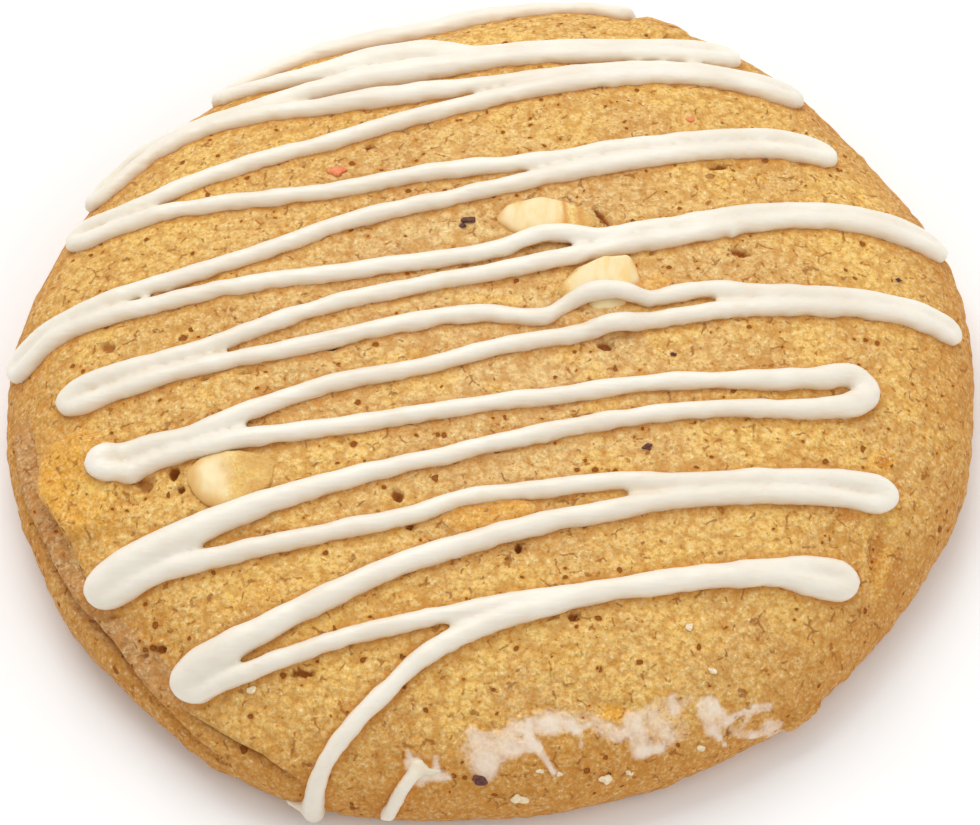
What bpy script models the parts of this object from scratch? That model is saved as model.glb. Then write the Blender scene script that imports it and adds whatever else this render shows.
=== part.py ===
"""Lemon cookie: a domed biscuit with three white chocolate chunks and a zigzag of white icing.

Lengths are in millimetres until a mesh is made, where MM turns them into metres. A place on the
biscuit is given as on its skin rolled out flat: x to the right and y away from the middle of the
top, both measured along the surface, so that the icing can run on over the rim. Its way from such
a place to the middle, over the outline's swell there, is called its reach.
"""
import bmesh
import bpy
import numpy as np
from mathutils import Matrix, Vector

MM = 0.001

# Biscuit: a dome with a full shoulder, which meets a rim that tucks in to a flat underside
MEAN_RADIUS = 39.75
RIM_HEIGHT = 3.0
DOME_RISE = 11.6
SHOULDER_OUT = 2.8
SHOULDER_UP = 2.2
FOOT_TUCK = 2.4
DOME_STEPS = 2000
TUCK_STEPS = 200
RINGS = 18
RING_CROWDING = 0.5
MIDDLE = (0.53, -0.23)

# Outline: waves round it, the share of the radius that each adds and the direction of its crest
SWELL = (
    (2, 0.029, 39.0),
    (3, 0.005, 56.0),
    (4, 0.0105, -21.0),
    (5, 0.0045, 3.0),
    (6, 0.0085, 7.0),
    (7, 0.0035, 23.0),
    (8, 0.004, -18.0),
    (11, 0.0035, -16.0),
)

# Lumps in the dough: place, half length, half width, turn in degrees and height
LUMPS = (
    (-33.9, -13.0, 6.0, 3.9, 113.0, 1.3),
    (-0.5, -18.6, 4.6, 2.0, 5.0, 0.5),
    (9.0, 0.6, 4.0, 1.8, 5.0, 0.5),
    (14.5, 36.0, 3.2, 2.4, -20.0, 0.7),
    (-22.0, -6.8, 4.5, 2.5, 20.0, 0.3),
    (12.0, -30.0, 9.0, 4.0, 8.0, 0.3),
    (27.2, -33.6, 2.2, 1.0, 48.0, 0.5),
)
LUMP_RIM = (0.5, 1.1)

# Creases in the side: angle in degrees and reach of places along each, how deep it cuts, and how
# far the lip over it stands out
CREASES = (
    (
        (
            (184.0, 41.7), (198.0, 41.7), (206.0, 41.1), (220.0, 41.2), (226.0, 42.2),
            (236.0, 43.2), (241.0, 43.5),
        ),
        0.95,
        0.4,
    ),
    (((230.0, 41.5), (238.0, 41.4), (243.0, 41.3), (250.0, 42.8)), 0.7, 0.3),
    (((188.0, 39.0), (196.0, 39.4), (205.0, 38.9), (218.0, 39.2)), 0.15, 0.45),
)
CREASE_FADE = 5.0
CREASE_HALF_WIDTH = 0.6
LIP_FROM = -2.4
LIP_FULL = -0.6
LIP_ENDS = (-0.4, 0.1)
FOOT_SHARE = 0.8
FOOT_BELOW = 1.9
FOOT_HALF_WIDTH = 1.2

# Icing: the zigzag's turns, with the gap between the centre lines that meet at each
TURNS = (
    (-24.4, 30.1, 1.8),
    (20.9, 32.3, 1.2),
    (-35.4, 19.2, 1.8),
    (26.5, 28.6, 1.3),
    (-36.2, 13.4, 1.6),
    (28.8, 20.9, 1.3),
    (-41.6, 1.0, 1.7),
    (38.8, 13.0, 0.8),
    (-35.6, -4.9, 1.6),
    (39.3, 3.7, 1.1),
    (-32.0, -12.0, 1.7),
    (30.6, -5.1, 2.7),
    (-32.4, -22.5, 1.6),
    (32.4, -14.2, 1.5),
    (-25.4, -31.2, 1.9),
    (28.8, -22.1, 1.4),
)

# Places that each pass goes through on its way from one turn to the next
PASSES = (
    ((13.0, 43.5), (11.2, 39.4), (6.0, 40.2), (-6.0, 37.7), (-18.0, 34.3)),
    ((-15.0, 29.0), (-6.6, 31.0), (-1.5, 30.2), (3.3, 30.8), (13.0, 31.6), (17.5, 32.8)),
    ((12.0, 30.4), (0.0, 29.3), (-12.0, 27.1), (-24.0, 24.5), (-32.0, 22.6)),
    ((-29.0, 22.1), (-24.0, 23.6), (-12.0, 24.3), (0.0, 26.1), (12.0, 28.3), (20.0, 29.1)),
    ((19.0, 28.1), (12.0, 27.2), (0.0, 24.2), (-12.0, 20.1), (-24.0, 16.6), (-31.0, 14.5)),
    (
        (-31.0, 12.8), (-24.0, 13.3), (-14.0, 13.8), (-5.0, 15.6), (5.5, 17.0), (9.5, 18.2),
        (15.0, 19.4), (24.0, 21.6),
    ),
    (
        (24.0, 20.0), (12.0, 17.1), (0.0, 13.6), (-12.0, 10.5), (-18.0, 8.0), (-24.0, 6.0),
        (-34.0, 4.0),
    ),
    (
        (-36.0, 2.1), (-29.0, 2.9), (-22.0, 3.9), (-12.0, 5.2), (0.0, 7.2), (4.2, 8.6),
        (9.0, 8.7), (14.0, 10.0), (26.0, 13.1), (34.0, 13.8),
    ),
    (
        (31.0, 12.6), (25.0, 11.8), (14.0, 8.5), (6.0, 6.4), (0.0, 5.0), (-12.0, 2.2),
        (-24.0, -2.0),
    ),
    (
        (-30.0, -4.9), (-21.0, -3.3), (-9.0, -0.6), (-1.5, 0.8), (4.0, 0.4), (6.6, 1.8),
        (9.0, 2.4), (12.3, 1.9), (18.4, 3.6), (30.0, 4.4),
    ),
    (
        (34.0, 3.4), (28.0, 2.9), (18.0, 1.35), (8.0, -1.1), (0.0, -2.7), (-6.0, -4.6),
        (-18.0, -7.7), (-24.0, -10.0),
    ),
    (
        (-29.8, -12.9), (-22.0, -11.2), (-12.0, -10.1), (0.0, -8.1), (14.0, -5.8),
        (20.0, -5.3), (26.0, -4.5),
    ),
    ((26.0, -7.4), (16.0, -8.4), (6.0, -10.5), (-6.0, -13.6), (-18.0, -16.8), (-27.0, -19.9)),
    (
        (-27.5, -22.1), (-20.0, -20.9), (-8.0, -18.8), (-1.0, -16.8), (3.5, -16.3),
        (14.0, -15.2), (23.0, -14.0),
    ),
    ((26.0, -15.2), (14.0, -16.8), (4.0, -19.2), (-7.0, -22.7), (-18.0, -27.6)),
    (
        (-22.0, -31.6), (-16.0, -30.0), (-12.0, -28.9), (0.0, -26.3), (8.5, -24.9),
        (12.0, -24.0), (22.0, -22.0),
    ),
    (
        (22.0, -22.6), (12.0, -24.35), (8.5, -24.95), (1.0, -27.3), (-5.0, -30.1),
        (-9.0, -33.6), (-13.4, -38.2), (-16.6, -44.4),
    ),
)
DRIP = ((-6.3, -39.5), (-7.1, -40.3), (-8.0, -41.5), (-9.5, -44.1))

STRAND_RADIUS = 0.78
STRAND_SINK = 0.25
LEFTWARD_SWELL = 0.42
RIGHTWARD_SWELL = 0.14
NEAR_SWELL = 0.15
SWELL_LEFT = (-2.0, -30.0)
SWELL_NEAR = (-6.0, -19.0)
NEAR_SWELL_AT = (-15.0, -20.0)

# Where the strand is fuller or slimmer: place, reach and change of radius
SWELLS = (
    (-11.0, -36.0, 12.0, -0.55),
    (25.0, -4.2, 6.0, 0.16),
    (29.8, -5.4, 3.6, 0.28),
    (26.0, -22.2, 4.0, 0.12),
)
SWELLS_FADE = (0.4, 1.0)
STRAND_SIDES = 8
STRAND_STEP = 3.6
BEND_EFFORT = 4.0
OPEN_TURN = 2.5
TURN_SETBACK = 0.35
TURN_SEGMENTS = 10
TURN_RINGS = 6
CURVE_SAMPLES = 30

# How far beside a place the skin is felt for its slope
NEAR = 0.05

# Where a strand rides over a chunk: place, how far off it still lifts, and how high
HOPS = (
    (9.0, 2.6, 4.2, 0.95),
    (4.4, 9.2, 4.6, 0.35),
    (-20.6, -11.0, 4.6, 0.25),
)

# White chocolate chunks: place and corners, to the right, away and out
CHUNKS = (
    (
        (4.0, 10.4),
        (
            (-4.5, 0.2, 0.2), (-2.0, 1.0, 0.9), (0.6, 1.5, 0.9), (5.3, -0.4, 0.2),
            (-2.8, 2.0, 0.2), (0.4, 2.6, 0.2), (3.9, 1.4, 0.2), (-3.2, -1.2, 0.3),
            (-1.4, -2.1, 0.3), (3.2, -1.9, 0.3), (-2.4, 0.2, -2.0), (2.4, 0.2, -2.0),
            (0.0, -1.3, -2.0),
        ),
    ),
    (
        (9.2, 4.0),
        (
            (1.7, 2.0, 1.7), (-0.4, 1.9, 1.6), (-4.5, -1.1, 0.0), (-2.6, 1.5, 0.2),
            (3.2, -0.8, 0.1), (2.6, 1.6, 0.2), (-1.2, -3.3, 0.2), (1.9, -3.2, 0.2),
            (1.3, -0.4, 1.2), (-1.8, 0.0, -2.0), (1.8, 0.8, -2.0), (0.2, -1.6, -2.0),
        ),
    ),
    (
        (-20.9, -14.3),
        (
            (-4.2, 1.0, 0.1), (-4.0, -0.4, 0.1), (-2.6, 1.1, 0.8), (-2.4, -1.2, 0.7),
            (-3.1, -1.8, 0.1), (-1.4, -2.9, 0.1), (0.4, -2.6, 0.4), (3.2, -1.2, 0.1),
            (3.7, 1.4, 0.1), (-2.4, 2.5, 0.4), (1.6, 2.4, 0.4), (-2.4, 0.8, -2.0),
            (2.4, 1.0, -2.0), (-0.6, -1.6, -2.0),
        ),
    ),
)
CHUNK_BEVEL = 0.35
CHUNK_BEVEL_STEPS = 2
CHUNK_FLATTEN_DEGREES = 4.0
CHUNK_GAP = 0.34
CHUNK_SHARP_DEGREES = 50.0
COOKIE_SHARP_DEGREES = 45.0

# Colour, roughness and metallic value
DOUGH_LOOK = ((0.69, 0.42, 0.16, 1.0), 0.75, 0.0)
CHUNK_LOOK = ((0.93, 0.78, 0.47, 1.0), 0.45, 0.0)


def smooth_step(low, high, value):
    """Rise from 0 to 1 between low and high."""
    share = np.clip((value - low) / (high - low), 0.0, 1.0)
    return share * share * (3.0 - 2.0 * share)


def bump(value, half_width):
    """Soft bump, 1 high, about 0."""
    return np.exp(-((value / half_width) ** 2))


def profile():
    """Distance along the skin, radius and height, from the top's middle to the underside."""
    dome = np.linspace(0.0, np.pi / 2, DOME_STEPS)
    tuck = np.linspace(0.0, np.pi / 2, TUCK_STEPS)[1:]
    radius = np.append(
        MEAN_RADIUS * np.sin(dome) ** (2 / SHOULDER_OUT),
        MEAN_RADIUS - FOOT_TUCK * (1 - np.cos(tuck)),
    )
    height = np.append(
        RIM_HEIGHT + DOME_RISE * np.cos(dome) ** (2 / SHOULDER_UP),
        RIM_HEIGHT * (1 - np.sin(tuck)),
    )
    steps = np.hypot(np.diff(radius), np.diff(height))
    return np.append(0.0, np.cumsum(steps)), radius, height


REACH, RADIUS, HEIGHT = profile()


def swell(angle):
    """Outline's radius in this direction, as a share of the mean."""
    share = np.ones_like(angle)
    for waves, size, crest in SWELL:
        share = share + size * np.cos(waves * (angle - np.radians(crest)))
    return share


def lumps(x, y):
    """Height of the lumps at a place."""
    total = np.zeros_like(x)
    for lump_x, lump_y, length, width, turn, height in LUMPS:
        turn = np.radians(turn)
        along = (x - lump_x) * np.cos(turn) + (y - lump_y) * np.sin(turn)
        across = (y - lump_y) * np.cos(turn) - (x - lump_x) * np.sin(turn)
        distance = np.hypot(along / length, across / width)
        total = total + height * (1 - smooth_step(*LUMP_RIM, distance))
    return total


def fold(x, y):
    """Height of the lip, the groove and the foot along the side's creases."""
    angle = np.degrees(np.arctan2(y, x)) % 360.0
    reach = np.hypot(x, y) / swell(np.radians(angle))
    total = np.zeros_like(reach)
    for places, depth, lip in CREASES:
        angles, reaches = zip(*places)
        below = reach - np.interp(angle, angles, reaches)
        span = smooth_step(angles[0], angles[0] + CREASE_FADE, angle)
        span = span * (1 - smooth_step(angles[-1] - CREASE_FADE, angles[-1], angle))
        groove = depth * bump(below, CREASE_HALF_WIDTH)
        over = lip * smooth_step(LIP_FROM, LIP_FULL, below) * (1 - smooth_step(*LIP_ENDS, below))
        foot = FOOT_SHARE * lip * bump(below - FOOT_BELOW, FOOT_HALF_WIDTH)
        total = total + span * (over + foot - groove)
    return total


def plain_skin(x, y):
    """Points at places on the skin, without its relief."""
    angle = np.arctan2(y, x)
    share = swell(angle)
    reach = np.hypot(x, y) / share
    radius = np.interp(reach, REACH, RADIUS) * share
    height = np.interp(reach, REACH, HEIGHT)
    return np.stack([radius * np.cos(angle) + MIDDLE[0], radius * np.sin(angle) + MIDDLE[1], height], -1)


def outward(x, y):
    """Unit vectors square to the skin at places."""
    to_right = plain_skin(x + NEAR, y) - plain_skin(x - NEAR, y)
    away = plain_skin(x, y + NEAR) - plain_skin(x, y - NEAR)
    out = np.cross(to_right, away)
    return out / np.linalg.norm(out, axis=-1, keepdims=True)


def skin(x, y, lift=0.0):
    """Points at places on the skin, lifted square to it."""
    relief = lumps(x, y) + fold(x, y) + lift
    return plain_skin(x, y) + outward(x, y) * relief[..., None]


def material(name, look):
    """Principled material with one colour."""
    colour, roughness, metallic = look
    made = bpy.data.materials.new(name)
    made.use_nodes = True
    shader = made.node_tree.nodes["Principled BSDF"]
    shader.inputs["Base Color"].default_value = colour
    shader.inputs["Roughness"].default_value = roughness
    shader.inputs["Metallic"].default_value = metallic
    made.diffuse_color = colour
    return made


def new_object(name, points, faces, collection):
    """Object from points in millimetres, with its faces pointing out."""
    mesh = bpy.data.meshes.new(name)
    mesh.from_pydata([tuple(point) for point in np.asarray(points) * MM], [], faces)
    body = bmesh.new()
    body.from_mesh(mesh)
    bmesh.ops.recalc_face_normals(body, faces=body.faces)
    body.to_mesh(mesh)
    body.free()
    made = bpy.data.objects.new(name, mesh)
    collection.objects.link(made)
    return made


def disc_faces(rings):
    """Triangles between rings of 6, 12, 18 and more points round one middle point."""
    faces = []
    for ring in range(rings):
        inner = 1 + 3 * ring * (ring - 1)
        outer = 1 + 3 * ring * (ring + 1)
        for side in range(6):
            for step in range(ring + 1):
                here = inner + (side * ring + step) % (6 * ring) if ring else 0
                out_here = outer + side * (ring + 1) + step
                out_next = outer + (side * (ring + 1) + step + 1) % (6 * (ring + 1))
                faces.append((here, out_here, out_next))
                if step < ring:
                    after = inner + (side * ring + step + 1) % (6 * ring)
                    faces.append((here, out_next, after))
    return faces


def make_biscuit(collection):
    """Closed dome on a flat underside."""
    ring = np.concatenate([np.full(6 * k, k) for k in range(1, RINGS + 1)])
    step = np.concatenate([np.arange(6 * k) for k in range(1, RINGS + 1)])
    angle = step * np.pi / (3 * ring)
    share = ring / RINGS
    reach = REACH[-1] * share * (1 + RING_CROWDING * (1 - share)) * swell(angle)
    x = np.append(0.0, reach * np.cos(angle))
    y = np.append(0.0, reach * np.sin(angle))
    points = skin(x, y)
    rim = range(len(points) - 6 * RINGS, len(points))
    points[rim.start:, 2] = 0.0
    faces = disc_faces(RINGS)
    faces.append(tuple(reversed(rim)))
    return new_object("cookie", points, faces, collection)


def blend_row(row, times, time, spans):
    """One level of the curve's pyramid of blends between neighbours, each over its own span."""
    blended = []
    for before, after, (low, high) in zip(row, row[1:], spans):
        share = (time - times[low]) / (times[high] - times[low])
        blended.append(before * (1 - share) + after * share)
    return blended


def curve(places):
    """Smooth curve through places, as many close places."""
    levels = (((0, 1), (1, 2), (2, 3)), ((0, 2), (1, 3)), ((1, 2),))
    knots = [2 * places[0] - places[1], *places, 2 * places[-1] - places[-2]]
    found = []
    for start in range(len(places) - 1):
        window = knots[start:start + 4]
        leaps = [np.linalg.norm(after - before) ** 0.5 for before, after in zip(window, window[1:])]
        times = np.cumsum([0.0, *leaps])
        for time in np.linspace(times[1], times[2], CURVE_SAMPLES, endpoint=False):
            row = window
            for spans in levels:
                row = blend_row(row, times, time, spans)
            found.append(row[0])
    found.append(places[-1])
    return np.array(found)


def spaced(places, step):
    """Places about a step apart along a curve through the given ones, closer where it bends."""
    dense = curve([np.array(place) for place in places])
    leaps = np.diff(dense, axis=0)
    bends = np.diff(np.unwrap(np.arctan2(leaps[:, 1], leaps[:, 0])), prepend=0.0)
    bends[0] = 0.0
    gone = np.append(0.0, np.cumsum(np.linalg.norm(leaps, axis=1) + BEND_EFFORT * np.abs(bends)))
    count = max(2, round(gone[-1] / step) + 1)
    stops = np.linspace(0.0, gone[-1], count)
    return np.interp(stops, gone, dense[:, 0]), np.interp(stops, gone, dense[:, 1])


def hop(x, y):
    """How far a strand is lifted at a place by the chunk under it."""
    total = np.zeros_like(x)
    for hop_x, hop_y, reach, height in HOPS:
        distance = np.hypot(x - hop_x, y - hop_y)
        total = total + height * (1 - smooth_step(0.3, 1.0, distance / reach))
    return total


def strand_radius(x, y, leftward):
    """Radius of the icing at places, fuller on the way to the near left turns."""
    swelling = np.where(leftward, LEFTWARD_SWELL, RIGHTWARD_SWELL)
    radius = STRAND_RADIUS + swelling * smooth_step(*SWELL_NEAR, y) * smooth_step(*SWELL_LEFT, x)
    radius = radius + np.where(leftward, NEAR_SWELL, 0.0) * smooth_step(*NEAR_SWELL_AT, y)
    for swell_x, swell_y, reach, extra in SWELLS:
        distance = np.hypot(x - swell_x, y - swell_y) / reach
        radius = radius + extra * (1 - smooth_step(*SWELLS_FADE, distance))
    return np.maximum(radius, STRAND_RADIUS)


def tube(name, places, collection):
    """Strand of icing laid on the skin, closed at both ends."""
    x, y = spaced(places, STRAND_STEP)
    radius = strand_radius(x, y, np.gradient(x) < 0)
    centre = skin(x, y, STRAND_SINK * radius + hop(x, y))
    ahead = np.gradient(centre, axis=0)
    ahead /= np.linalg.norm(ahead, axis=1, keepdims=True)
    across = np.cross(ahead, outward(x, y))
    across /= np.linalg.norm(across, axis=1, keepdims=True)
    up = np.cross(across, ahead)
    turn = (np.arange(STRAND_SIDES) + 0.5) * 2 * np.pi / STRAND_SIDES
    rings = [
        c + r * (np.cos(turn)[:, None] * a + np.sin(turn)[:, None] * u)
        for c, r, a, u in zip(centre, radius, across, up)
    ]
    faces = []
    for ring in range(len(rings) - 1):
        for side in range(STRAND_SIDES):
            here = ring * STRAND_SIDES + side
            beside = ring * STRAND_SIDES + (side + 1) % STRAND_SIDES
            faces.append((here, beside, beside + STRAND_SIDES, here + STRAND_SIDES))
    last = (len(rings) - 1) * STRAND_SIDES
    faces.append(tuple(reversed(range(STRAND_SIDES))))
    faces.append(tuple(range(last, last + STRAND_SIDES)))
    return new_object(name, np.concatenate(rings), faces, collection)


def turn_pad(name, turn, collection):
    """Rounded pad of icing where two passes meet."""
    x, y, gap = turn
    here_x = np.array([x - np.sign(x) * TURN_SETBACK * gap])
    here_y = np.array([y])
    radius = float(strand_radius(here_x, here_y, True)[0])
    centre = skin(here_x, here_y, STRAND_SINK * radius)[0]
    out = outward(here_x, here_y)[0]
    right = skin(here_x + NEAR, here_y)[0] - skin(here_x - NEAR, here_y)[0]
    right /= np.linalg.norm(right)
    away = np.cross(out, right)
    length = TURN_SETBACK * gap + radius
    width = gap / 2 + radius
    axes = Matrix([right * length, away * width, out * radius])
    body = bmesh.new()
    bmesh.ops.create_uvsphere(body, u_segments=TURN_SEGMENTS, v_segments=TURN_RINGS, radius=1.0)
    points = [Vector(centre) + axes.transposed() @ vertex.co for vertex in body.verts]
    faces = [tuple(vertex.index for vertex in face.verts) for face in body.faces]
    body.free()
    return new_object(name, points, faces, collection)


def beside_turn(turn, side):
    """Where a pass meets its turn, on the far side (1) or the near side (-1) of its middle."""
    x, y, gap = turn
    return (x - np.sign(x) * TURN_SETBACK * gap, y + side * gap / 2)


def strands():
    """Places along each strand: one pass, or the two that an open turn joins."""
    found = []
    for index, way in enumerate(PASSES):
        places = list(way)
        if index > 0:
            x, y, gap = TURNS[index - 1]
            places.insert(0, beside_turn(TURNS[index - 1], -1))
            if gap > OPEN_TURN:
                places = found.pop() + [(x, y)] + places
        if index < len(TURNS):
            places.append(beside_turn(TURNS[index], 1))
        found.append(places)
    return found


def make_icing(collection):
    """Every strand of the zigzag, the pads in its tight turns and the separate drip."""
    for index, places in enumerate(strands()):
        tube(f"strand_{index}", places, collection)
    for index, turn in enumerate(TURNS):
        if turn[2] < OPEN_TURN:
            turn_pad(f"turn_{index}", turn, collection)
    tube("drip", DRIP, collection)


def chunk_body(chunk, grow):
    """Bevelled convex lump at its place, with its faces moved out by grow."""
    (x, y), corners = chunk
    here_x = np.array([x])
    here_y = np.array([y])
    centre = Vector(plain_skin(here_x, here_y)[0])
    out = Vector(outward(here_x, here_y)[0])
    lean = Vector((0.0, 0.0, 1.0)).rotation_difference(out).to_matrix()
    body = bmesh.new()
    for corner in corners:
        body.verts.new(centre + lean @ Vector(corner))
    hull = bmesh.ops.convex_hull(body, input=body.verts)
    bmesh.ops.delete(body, geom=hull["geom_interior"], context="VERTS")
    flat = np.radians(CHUNK_FLATTEN_DEGREES)
    bmesh.ops.dissolve_limit(body, angle_limit=flat, verts=body.verts, edges=body.edges)
    bmesh.ops.bevel(
        body, geom=list(body.edges), offset=CHUNK_BEVEL, segments=CHUNK_BEVEL_STEPS, profile=0.5,
        affect="EDGES", clamp_overlap=True,
    )
    bmesh.ops.triangulate(body, faces=body.faces)
    bmesh.ops.recalc_face_normals(body, faces=body.faces)
    body.normal_update()
    for vertex, normal in [(vertex, vertex.normal.copy()) for vertex in body.verts]:
        vertex.co += normal * grow
    body.verts.index_update()
    points = [tuple(vertex.co) for vertex in body.verts]
    faces = [tuple(vertex.index for vertex in face.verts) for face in body.faces]
    body.free()
    return points, faces


def apply_boolean(target, operation, collection):
    """Join or cut target with all the collection's objects, then remove them."""
    step = target.modifiers.new(operation.lower(), "BOOLEAN")
    step.operation = operation
    step.operand_type = "COLLECTION"
    step.collection = collection
    step.solver = "EXACT"
    graph = bpy.context.evaluated_depsgraph_get()
    result = bpy.data.meshes.new_from_object(target.evaluated_get(graph))
    target.modifiers.clear()
    target.data = result
    for operand in list(collection.objects):
        bpy.data.objects.remove(operand)
    bpy.data.collections.remove(collection)


def keep_largest_shell(target):
    """Drop loose scraps, and the walls of hollows that joining has sealed."""
    body = bmesh.new()
    body.from_mesh(target.data)
    bmesh.ops.triangulate(body, faces=body.faces)
    unseen = set(body.faces)
    shells = []
    while unseen:
        front = [unseen.pop()]
        shell = list(front)
        while front:
            face = front.pop()
            for edge in face.edges:
                for other in edge.link_faces:
                    if other in unseen:
                        unseen.remove(other)
                        front.append(other)
                        shell.append(other)
        shells.append(shell)
    shells.sort(key=len)
    for shell in shells[:-1]:
        bmesh.ops.delete(body, geom=shell, context="FACES")
    loose = [vertex for vertex in body.verts if not vertex.link_faces]
    bmesh.ops.delete(body, geom=loose, context="VERTS")
    body.to_mesh(target.data)
    body.free()


def finish(target, look_material, sharp_degrees):
    """Shade smooth but for sharp edges, and give the material."""
    target.data.shade_smooth()
    target.data.set_sharp_from_angle(angle=np.radians(sharp_degrees))
    target.data.materials.clear()
    target.data.materials.append(look_material)


def clear_scene():
    """Remove what the file opens with."""
    for thing in list(bpy.data.objects):
        bpy.data.objects.remove(thing)


def new_collection(name):
    """Collection linked to the scene, for the shapes of one Boolean step."""
    made = bpy.data.collections.new(name)
    bpy.context.scene.collection.children.link(made)
    return made


def main():
    clear_scene()
    scene_objects = bpy.context.scene.collection
    cookie = make_biscuit(scene_objects)
    icing = new_collection("icing")
    make_icing(icing)
    apply_boolean(cookie, "UNION", icing)
    pockets = new_collection("pockets")
    chunk_material = material("white_chocolate", CHUNK_LOOK)
    for number, chunk in enumerate(CHUNKS, start=1):
        new_object(f"pocket_{number}", *chunk_body(chunk, CHUNK_GAP), pockets)
        made = new_object(f"white_chunk_{number}", *chunk_body(chunk, 0.0), scene_objects)
        finish(made, chunk_material, CHUNK_SHARP_DEGREES)
    apply_boolean(cookie, "DIFFERENCE", pockets)
    keep_largest_shell(cookie)
    finish(cookie, material("dough", DOUGH_LOOK), COOKIE_SHARP_DEGREES)


main()
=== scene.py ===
import bmesh
import bpy
import numpy as np
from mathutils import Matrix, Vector, kdtree, noise


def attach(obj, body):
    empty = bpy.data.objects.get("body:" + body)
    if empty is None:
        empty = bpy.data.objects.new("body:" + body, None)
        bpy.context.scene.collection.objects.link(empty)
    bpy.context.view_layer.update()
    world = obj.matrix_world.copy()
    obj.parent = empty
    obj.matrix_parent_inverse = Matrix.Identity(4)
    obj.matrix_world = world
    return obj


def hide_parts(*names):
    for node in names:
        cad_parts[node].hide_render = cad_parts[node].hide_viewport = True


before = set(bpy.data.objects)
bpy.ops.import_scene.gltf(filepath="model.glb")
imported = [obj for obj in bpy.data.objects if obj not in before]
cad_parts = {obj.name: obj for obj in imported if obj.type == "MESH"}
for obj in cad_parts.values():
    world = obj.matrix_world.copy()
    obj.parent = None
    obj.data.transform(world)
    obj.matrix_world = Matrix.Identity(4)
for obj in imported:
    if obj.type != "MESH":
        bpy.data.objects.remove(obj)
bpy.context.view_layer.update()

# Lengths are in millimetres until a mesh is made, where MM turns them into metres. A place on the
# cookie is given as on its skin rolled out flat: x to the right and y away from the middle of the
# top, both measured along the surface. Its way from such a place to the middle, over the
# outline's swell there, is called its reach.
MM = 0.001

# Form of the biscuit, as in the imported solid
MEAN_RADIUS = 39.75
RIM_HEIGHT = 3.0
DOME_RISE = 11.6
SHOULDER_OUT = 2.8
SHOULDER_UP = 2.2
FOOT_TUCK = 2.4
DOME_STEPS = 2000
TUCK_STEPS = 200
MIDDLE = (0.53, -0.23)
SWELL = (
    (2, 0.029, 39.0),
    (3, 0.005, 56.0),
    (4, 0.0105, -21.0),
    (5, 0.0045, 3.0),
    (6, 0.0085, 7.0),
    (7, 0.0035, 23.0),
    (8, 0.004, -18.0),
    (11, 0.0035, -16.0),
)

# Lumps in the dough: place, half length, half width, turn in degrees and height
LUMPS = (
    (-33.9, -13.0, 6.0, 3.9, 113.0, 1.3),
    (-0.5, -18.6, 4.6, 2.0, 5.0, 0.5),
    (9.0, 0.6, 4.0, 1.8, 5.0, 0.5),
    (14.5, 36.0, 3.2, 2.4, -20.0, 0.7),
    (-22.0, -6.8, 4.5, 2.5, 20.0, 0.3),
    (12.0, -30.0, 9.0, 4.0, 8.0, 0.3),
    (27.2, -33.6, 2.2, 1.0, 48.0, 0.5),
    (31.6, -18.0, 2.6, 0.7, 78.0, -0.4),
    (29.4, -18.6, 2.2, 0.5, 82.0, -0.3),
    (27.4, -18.4, 1.8, 0.4, 85.0, -0.25),
)
LUMP_RIM = (0.7, 1.02)
LUMP_RIM_WOBBLE = 0.14

# Creases in the side: angle in degrees and reach of places along each, how deep it cuts, and how
# far the lip over it stands out
CREASES = (
    (
        (
            (184.0, 41.7), (198.0, 41.7), (206.0, 41.1), (220.0, 41.2), (226.0, 42.2),
            (236.0, 43.2), (241.0, 43.5),
        ),
        0.95,
        0.4,
    ),
    (((230.0, 41.5), (238.0, 41.4), (243.0, 41.3), (250.0, 42.8)), 0.7, 0.3),
    (((188.0, 39.0), (196.0, 39.4), (205.0, 38.9), (218.0, 39.2)), 0.15, 0.45),
)
CREASE_FADE = 5.0
CREASE_HALF_WIDTH = 0.38
LIP_FROM = -2.4
LIP_FULL = -0.6
LIP_ENDS = (-0.4, 0.1)
FOOT_SHARE = 0.8
FOOT_BELOW = 1.9
FOOT_HALF_WIDTH = 1.2

# Step to either side when the skin's slope is measured
NEAR = 0.05

# Fine mesh of the dough: rings on top, and coarser ones underneath
RINGS = 170
UNDER_SHARE = 5
UNDER_RISE = 0.25
UNDER_FADE = 3.0
UNDER_TONES = {"middle": 1.0, "edge": 1.0}
UNDER_DENTS = ((3.0, 1.0, 5), (1.6, 0.6, 6))

# Unevenness of the dough: size of the waves across, and how high they are
WAVES = ((15.0, 0.22, 1), (6.0, 0.12, 2))
GRAINS = ((2.2, 0.13, 3), (0.95, 0.13, 4))
BIT_UNEVENNESS = 0.75
FLAT_FROM = 46.0
FLAT_FULL = 48.2

# Patches of tone: size, strength and seed
PATCHES = ((9.0, 1.0, 71), (3.5, 0.4, 72))
PATCH_SHIFT = 4.0
MIDDLE_FADE = (6.0, 32.0)
EDGE_FADE = (33.0, 43.0)
TONES = ((5.5, 1.0, 73), (2.0, 0.5, 74))
TONE_FADE = (0.05, 0.5)

# Drawn-out side at the left: angles in degrees, and reaches, that it lies between
WALL = ((184.0, 189.0), (226.0, 238.0), (38.6, 39.4), (41.0, 42.2))
STRIPES = ((0.8, 1.0, 75), (0.35, 0.6, 76))
STRIPE_SHAPE = (1.0, 1.0, 0.25)

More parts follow.
